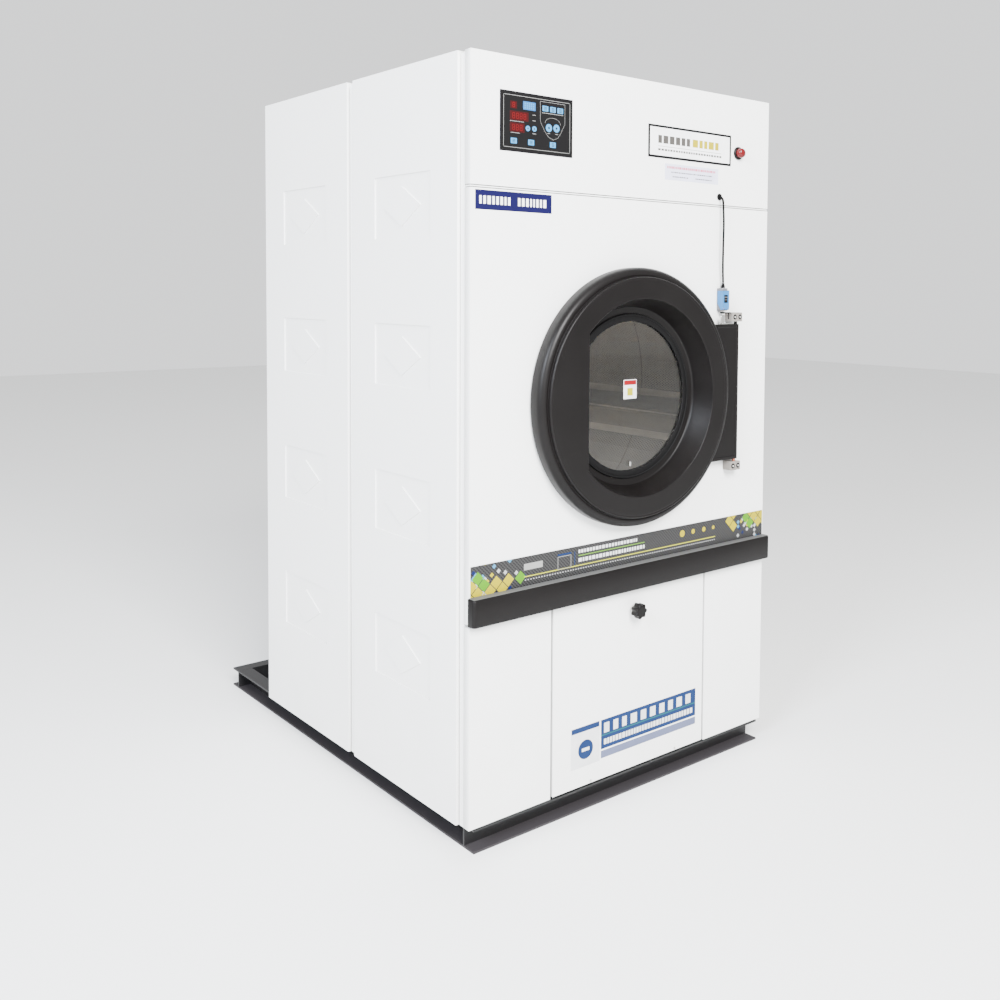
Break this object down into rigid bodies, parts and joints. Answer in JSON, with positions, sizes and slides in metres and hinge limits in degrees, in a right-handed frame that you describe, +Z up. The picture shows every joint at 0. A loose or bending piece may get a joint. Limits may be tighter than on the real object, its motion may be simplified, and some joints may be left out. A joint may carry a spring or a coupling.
{
  "type": "commercial tumble dryer",
  "caption": "Free-standing commercial tumble dryer with a round glazed loading door, belt-driven drum, exhaust fan and drop-down lint door.",
  "frame": {"origin": "centre of the bounding box, on the floor under the base channels", "axes": "+Z up, +X to the right as seen from the front, +Y from the front towards the back; the loading door faces -Y"},
  "size_m": [1.01, 1.409, 1.8],
  "materials": {
    "white_enamel": "satin",
    "black_steel": "satin",
    "black_plastic": "satin",
    "black_rubber": "matte",
    "clear_glass": "polished",
    "bright_steel": "brushed",
    "drum_steel": "brushed",
    "galvanised": "matte",
    "cast_iron": "matte",
    "motor_paint": "satin",
    "switch_blue": "satin",
    "switch_grey": "satin",
    "red_lens": "polished",
    "printed_foil": "satin"
  },
  "bodies": {
    "cabinet": {"side_panel_front_left": "white_enamel", "side_panel_front_right": "white_enamel", "top_panel_front": "white_enamel", "side_panel_rear_left": "white_enamel", "side_panel_rear_right": "white_enamel", "top_panel_rear": "white_enamel", "rear_panel": "white_enamel", "front_fascia": "white_enamel", "front_panel": "white_enamel", "lower_panel_left": "white_enamel", "lower_panel_right": "white_enamel", "cabinet_frame": "white_enamel", "base_channel_front": "black_steel", "base_channel_rear": "black_steel", "base_channel_left": "black_steel", "base_channel_right": "black_steel", "drive_bed": "black_steel", "bumper_bar": "black_plastic", "switch_gland": "black_plastic", "control_membrane": "black_plastic", "pilot_lamp_bezel": "black_plastic", "switch_cable": "black_rubber", "cable_grommet": "black_rubber", "drive_belt": "black_rubber", "hinge_block_lower": "bright_steel", "hinge_block_upper": "bright_steel", "lint_screen": "bright_steel", "lint_box": "galvanised", "air_duct": "galvanised", "control_box": "galvanised", "loading_collar": "galvanised", "drum_housing": "galvanised", "heater_box": "galvanised", "fan_housing": "galvanised", "bearing_housing": "cast_iron", "drive_motor": "motor_paint", "fan_motor": "motor_paint", "switch_cover": "switch_blue", "switch_housing": "switch_grey", "pilot_lamp_lens": "red_lens", "label_band": "printed_foil"},
    "door": {"door_ring": "black_plastic", "door_glass": "clear_glass", "glass_gasket": "black_rubber", "door_seal": "black_rubber", "hinge_plate": "black_steel", "hinge_pin_lower": "bright_steel", "hinge_pin_upper": "bright_steel", "switch_actuator": "bright_steel"},
    "drum": {"drum_shell": "drum_steel", "drum_back_and_shaft": "drum_steel", "drum_lifter_1": "drum_steel", "drum_lifter_2": "drum_steel", "drum_lifter_3": "drum_steel", "drum_pulley": "cast_iron"},
    "drive_pulley": {"motor_pulley": "cast_iron"},
    "fan_wheel": {"fan_impeller": "galvanised"},
    "lint_flap": {"lint_door": "white_enamel"},
    "lint_latch": {"lint_knob": "black_plastic"},
    "switch_arm": {"switch_lever": "black_steel"}
  },
  "joints": [
    {"name": "door_swing", "type": "hinge", "parent": "cabinet", "child": "door", "pos_m": [0.35, -0.6705, 1.011], "axis": [0, 0, 1], "range_deg": [0, 150]},
    {"name": "drum_spin", "type": "hinge", "parent": "cabinet", "child": "drum", "pos_m": [-0.014, -0.2005, 1.011], "axis": [0, 1, 0], "continuous": true},
    {"name": "motor_spin", "type": "hinge", "parent": "cabinet", "child": "drive_pulley", "pos_m": [0.235, 0.4305, 0.175], "axis": [0, 1, 0], "continuous": true},
    {"name": "fan_spin", "type": "hinge", "parent": "cabinet", "child": "fan_wheel", "pos_m": [-0.15, 0.4495, 0.33], "axis": [0, 1, 0], "continuous": true},
    {"name": "lint_door_tilt", "type": "hinge", "parent": "cabinet", "child": "lint_flap", "pos_m": [0, -0.6465, 0.062], "axis": [1, 0, 0], "range_deg": [0, 85]},
    {"name": "lint_knob_turn", "type": "hinge", "parent": "lint_flap", "child": "lint_latch", "pos_m": [0, -0.6505, 0.47], "axis": [0, 1, 0], "range_deg": [0, 90]},
    {"name": "switch_lever_turn", "type": "hinge", "parent": "cabinet", "child": "switch_arm", "pos_m": [0.306, -0.6625, 1.215], "axis": [0, 0, 1], "range_deg": [-25, 5], "stiffness_Nm_per_rad": 0.02}
  ],
  "couplings": [
    {"joint": "motor_spin", "follows": "drum_spin", "ratio": 5.2553}
  ]
}
